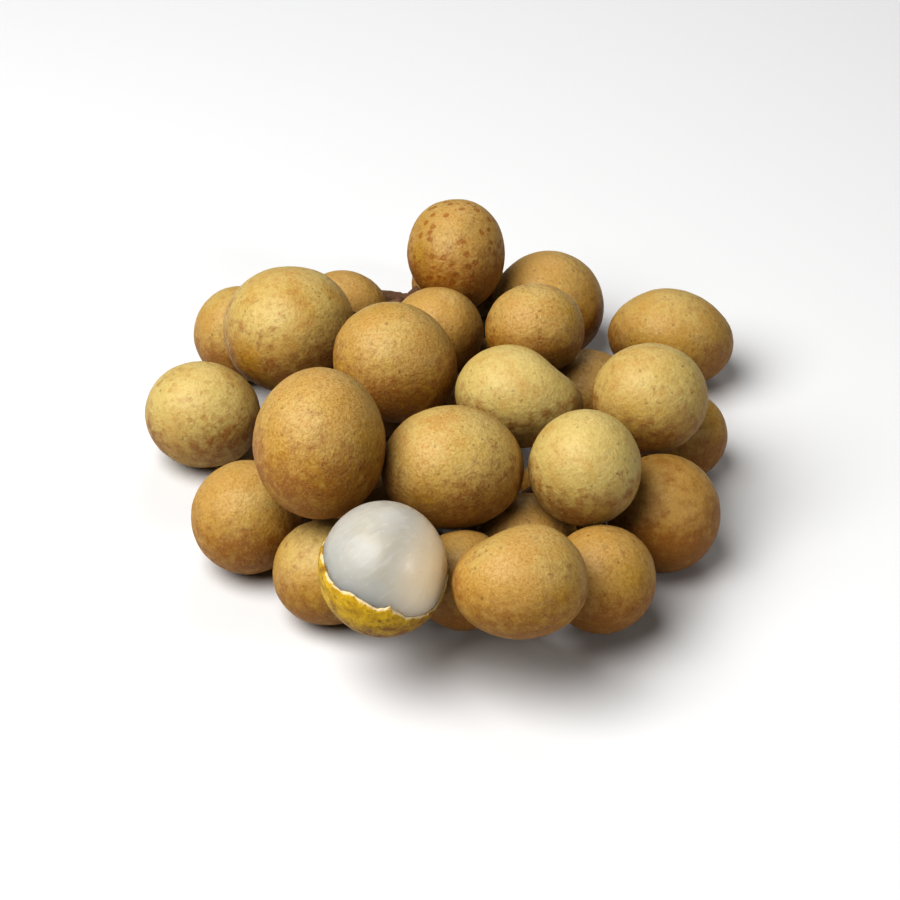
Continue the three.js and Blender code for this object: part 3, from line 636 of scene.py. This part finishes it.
# the outer face of the husk and then the inner one, each in rings from the closed end to the torn edge,
# and each point's distance from that edge in millimetres
def huskPoints():
    turns, rings = husk["turns"], husk["rings"]
    turn = np.arange(turns) * 2 * math.pi / turns
    edge = tearReach(turn)
    uneven = unevenRow(turns, husk["seed"] + 1)
    ledge = np.clip(husk["ledge"] + husk["ledgeVaries"] * uneven, *husk["ledgeLimits"])
    pole = poleDirections(np.zeros(1), np.zeros(1))
    points, fromRim = [], []
    for outer in (True, False):
        raised = husk["toFlesh"] + (husk["wall"] if outer else 0.0)
        reach = edge if outer else edge + ledge
        points.append(fleshForm.centre + pole * (fleshForm.radius(pole) + raised)[:, None])
        fromRim.append(np.full(1, husk["poleFromRim"]))
        for ring in range(1, rings + 1):
            fromPole = reach * (ring / rings)
            directions = poleDirections(fromPole, turn)
            lift = raised
            if outer:
                near = np.clip((reach - fromPole) / husk["thinningReach"], 0, 1)
                lift = raised - husk["thinning"] * (1 - near) ** 2
            points.append(fleshForm.centre + directions * (fleshForm.radius(directions) + lift)[:, None])
            fromRim.append((reach - fromPole) * husk["radiusMm"] * (1 if outer else husk["innerFromRim"]))
    return np.vstack(points), np.concatenate(fromRim)


def huskFaces():
    turns, rings = husk["turns"], husk["rings"]
    inner = 1 + rings * turns
    faces = []
    for here in range(turns):
        beside = (here + 1) % turns
        faces.append((0, 1 + beside, 1 + here))
        faces.append((inner, inner + 1 + here, inner + 1 + beside))
        for ring in range(rings - 1):
            a, b = 1 + ring * turns + here, 1 + ring * turns + beside
            c, d = a + turns, b + turns
            faces.append((a, b, d, c))
            faces.append((inner + a, inner + c, inner + d, inner + b))
        a, b = 1 + (rings - 1) * turns + here, 1 + (rings - 1) * turns + beside
        faces.append((a, b, inner + b, inner + a))
    return faces


def huskMesh():
    points, fromRim = huskPoints()
    mesh = bpy.data.meshes.new("husk")
    mesh.from_pydata(points.tolist(), [], huskFaces())
    storeValues(mesh, "fromRim", fromRim)
    storeValues(mesh, "upward", (points - fleshForm.centre)[:, 2] / (husk["radiusMm"] * mm))
    return mesh


def makeHuskFinish():
    paint = Finish("tornHusk")
    where = paint.where()
    scale, depth = husk["scale"], husk["depth"]
    look = {"fromRim": paint.attribute("fromRim")}
    look["mottle"] = paint.noise(where, scale["mottle"], 4.0, 0.6)
    look["scurf"] = paint.noise(where, scale["scurf"], 3.0, 0.6)
    # darker towards the bottom of the husk: painted shade
    look["low"] = 1.0 - paint.attribute("upward").ramp(*husk["lowEdge"])
    mottle, scurf = look["mottle"] - 0.5, look["scurf"] - 0.5
    colour = paint.blend(paint.weigh(look, husk["toAmber"]), husk["gold"], husk["amber"])
    spots = 1.0 - paint.cells(where, scale["spot"]).ramp(*husk["spotEdge"])
    colour = paint.blend(spots * husk["spotCover"], colour, skin["dot"])
    torn = 1.0 - paint.weigh(look, husk["toSkin"]).ramp(*husk["tornSkinEdge"])
    colour = paint.blend(torn, colour, husk["cream"])
    pebble = 0.5 - paint.cells(where, scale["pebble"], "SMOOTH_F1")
    paint.bump(scurf * depth["scurf"] + pebble * depth["pebble"] + mottle * depth["mottle"])
    rough = husk["roughness"] + scurf * husk["scurfRoughness"]
    return paint.set(Base_Color=colour, Roughness=rough.clamp(), Specular_IOR_Level=husk["shine"])


def makeFleshFinish():
    paint = Finish("wetFlesh")
    where = paint.where()
    along = Vector(flesh["grain"]).normalized()
    beside = along.orthogonal().normalized()
    across = along.cross(beside)
    stretched = paint.dot(where, along) * flesh["grainStretch"]
    sides = [paint.dot(where, beside), paint.dot(where, across)]
    fibres = paint.add("ShaderNodeCombineXYZ", {}, [stretched, *sides])
    streak = paint.noise(fibres, flesh["streakScale"], 3.0, 0.6)
    cloud = paint.noise(where, flesh["cloudScale"])
    shaded = cloud.ramp(*flesh["cloudEdge"]) * flesh["cloudCover"]
    colour = paint.blend(shaded, flesh["white"], flesh["shade"])
    veined = streak.ramp(*flesh["streakEdge"]) * flesh["streakCover"]
    colour = paint.blend(veined, colour, flesh["vein"])
    # painted light: the flesh is warmed and lightened on its right and lower side in the view
    paintedGlowAmount = paint.attribute("paintedGlowSide").ramp(*flesh["paintedGlowEdge"]) * flesh["paintedGlowCover"]
    colour = paint.blend(paintedGlowAmount, colour, flesh["paintedGlow"])
    paint.bump((streak - 0.5) * flesh["streakDepth"] + (cloud - 0.5) * flesh["cloudDepth"])
    rough = flesh["roughness"] + (streak - 0.5) * flesh["streakRoughness"]
    paint.set(Base_Color=colour, Roughness=rough.clamp(), IOR=flesh["index"])
    paint.set(Subsurface_Weight=flesh["insideLight"], Subsurface_Scale=flesh["insideScale"])
    paint.set(Subsurface_Radius=flesh["insideRadius"])
    return paint.set(Coat_Weight=flesh["wetness"], Coat_Roughness=flesh["wetRoughness"])


def makeFlesh():
    ball, directions = ballMesh("flesh", flesh["level"])
    # how far each point faces towards the side with the painted glow
    across, up = flesh["paintedGlowToward"]
    storeValues(ball, "paintedGlowSide", directions @ (viewRight * across + viewUp * up))
    radii = fleshForm.radius(directions) + flesh["swell"]
    setPoints(ball, fleshForm.centre + directions * radii[:, None])
    return ball


huskFinish = makeHuskFinish()
huskRelief = makeRelief("huskRelief", huskFinish, reliefSizes(husk))
tornHusk = growMesh(huskMesh(), huskRelief, {"Seed": husk["reliefSeed"]})
placePiece("torn_husk", tornHusk, "peeled_husk", huskFinish)
placePiece("white_flesh", makeFlesh(), "peeled_flesh", makeFleshFinish())
print("peeled fruit: husk and flesh made")

# the stalk: rough brown bark with pale dots
stalk = {
    "voxel": 0.33 * mm,
    "lumpsPerMetre": 330.0,
    "lumpHeight": 0.55 * mm,
    "pebblesPerMetre": 800.0,
    "pebbleHeight": 0.20 * mm,
    "reliefSeed": 1.7,
    "bark": (0.115, 0.056, 0.026),
    "worn": (0.255, 0.150, 0.076),
    "dot": (0.30, 0.21, 0.13),
    "scale": {"patch": 0.30, "dot": 0.95, "grain": 2.0},
    "toWorn": {"level": -1.6, "patch": 2.0, "grain": 1.4},
    "dotEdge": (0.12, 0.26),
    "dotPatchEdge": (0.40, 0.55),
    "dotCover": 0.7,
    "depth": {"grain": 0.22, "patch": 0.4, "dot": 0.08},
    "roughness": 0.82,
    "grainRoughness": 0.2,
}


def makeBark():
    paint = Finish("twigBark")
    where = paint.where()
    scale, depth = stalk["scale"], stalk["depth"]
    look = {
        "patch": paint.noise(where, scale["patch"], 3.0, 0.6),
        "grain": paint.noise(where, scale["grain"], 3.0, 0.65),
    }
    patch, grain = look["patch"] - 0.5, look["grain"] - 0.5
    colour = paint.blend(paint.weigh(look, stalk["toWorn"]), stalk["bark"], stalk["worn"])
    dots = 1.0 - paint.cells(where, scale["dot"]).ramp(*stalk["dotEdge"])
    dots = dots * look["patch"].ramp(*stalk["dotPatchEdge"])
    colour = paint.blend(dots * stalk["dotCover"], colour, stalk["dot"])
    paint.bump(grain * depth["grain"] + patch * depth["patch"] + dots * depth["dot"])
    rough = stalk["roughness"] + grain * stalk["grainRoughness"]
    return paint.set(Base_Color=colour, Roughness=rough.clamp())


# the CAD stalk, softened from its flat faces
def makeStalk():
    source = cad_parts["stalk"].data.copy()
    shape = bmesh.new()
    shape.from_mesh(source)
    bmesh.ops.remove_doubles(shape, verts=shape.verts, dist=1e-6)
    shape.to_mesh(source)
    shape.free()
    carrier = bpy.data.objects.new("stalkCarrier", source)
    bpy.context.collection.objects.link(carrier)
    grid = carrier.modifiers.new("grid", "REMESH")
    grid.mode = "VOXEL"
    grid.voxel_size = stalk["voxel"]
    soft = carrier.modifiers.new("soft", "SMOOTH")
    soft.factor = 0.5
    soft.iterations = 5
    return keepMesh(carrier)


barkFinish = makeBark()
barkRelief = makeRelief("barkRelief", barkFinish, reliefSizes(stalk))
woodyStalk = growMesh(makeStalk(), barkRelief, {"Seed": stalk["reliefSeed"]})
placePiece("woody_stalk", woodyStalk, "stalk", barkFinish)
print("stalk: made")

# floor, light and camera
studio = {
    "floorSize": 3.0,
    "floorColour": (0.60, 0.60, 0.60),
    "floorSecond": (0.57, 0.57, 0.57),
    "floorVaries": 0.1,
    "floorScale": 0.004,
    "floorRoughness": 0.7,
    "skyColour": (1.0, 1.0, 1.0),
    "skyStrength": 0.08,
    "keyPlace": (-0.48, -0.30, 0.89),
    "keySize": 1.05,
    "keyPower": 23.3,
    "fillPlace": (0.90, -0.67, 0.60),
    "fillSize": 0.24,
    "fillPower": 3.6,
    "backPlace": (0.15, 0.85, 0.75),
    "backSize": 0.60,
    "backPower": 3.0,
    "gamma": 0.76,
}


def makeFloor():
    half = studio["floorSize"]
    corners = [(-half, -half, 0), (half, -half, 0), (half, half, 0), (-half, half, 0)]
    mesh = bpy.data.meshes.new("floor")
    mesh.from_pydata(corners, [], [(0, 1, 2, 3)])
    paint = Finish("paleFloor")
    tone = paint.noise(paint.where(), studio["floorScale"], 1.0)
    shade = paint.blend(tone * studio["floorVaries"], studio["floorColour"], studio["floorSecond"])
    mesh.materials.append(paint.set(Base_Color=shade, Roughness=studio["floorRoughness"]))
    floor = bpy.data.objects.new("floor", mesh)
    bpy.context.collection.objects.link(floor)


def makeLight():
    world = bpy.data.worlds.new("studioSky")
    bpy.context.scene.world = world
    world.use_nodes = True
    sky = world.node_tree.nodes["Background"]
    sky.inputs["Color"].default_value = (*studio["skyColour"], 1.0)
    sky.inputs["Strength"].default_value = studio["skyStrength"]
    for label in ("key", "fill", "back"):
        lamp = bpy.data.lights.new(label, "AREA")
        lamp.shape = "DISK"
        lamp.size = studio[label + "Size"]
        lamp.energy = studio[label + "Power"]
        light = bpy.data.objects.new(label, lamp)
        light.location = studio[label + "Place"]
        light.rotation_euler = (-Vector(studio[label + "Place"])).to_track_quat("-Z", "Y").to_euler()
        bpy.context.collection.objects.link(light)


def makeCamera():
    lens = bpy.data.cameras.new("camera")
    lens.lens = camera["lens"]
    lens.sensor_width = camera["sensor"]
    lens.clip_start = camera["nearest"]
    eye = bpy.data.objects.new("camera", lens)
    away = Vector(viewAway.tolist())
    eye.location = Vector(camera["aim"]) - camera["distance"] * away
    eye.rotation_euler = away.to_track_quat("-Z", "Y").to_euler()
    bpy.context.collection.objects.link(eye)
    bpy.context.scene.camera = eye


makeFloor()
makeLight()
makeCamera()
bpy.context.scene.view_settings.view_transform = "Standard"
bpy.context.scene.view_settings.gamma = studio["gamma"]
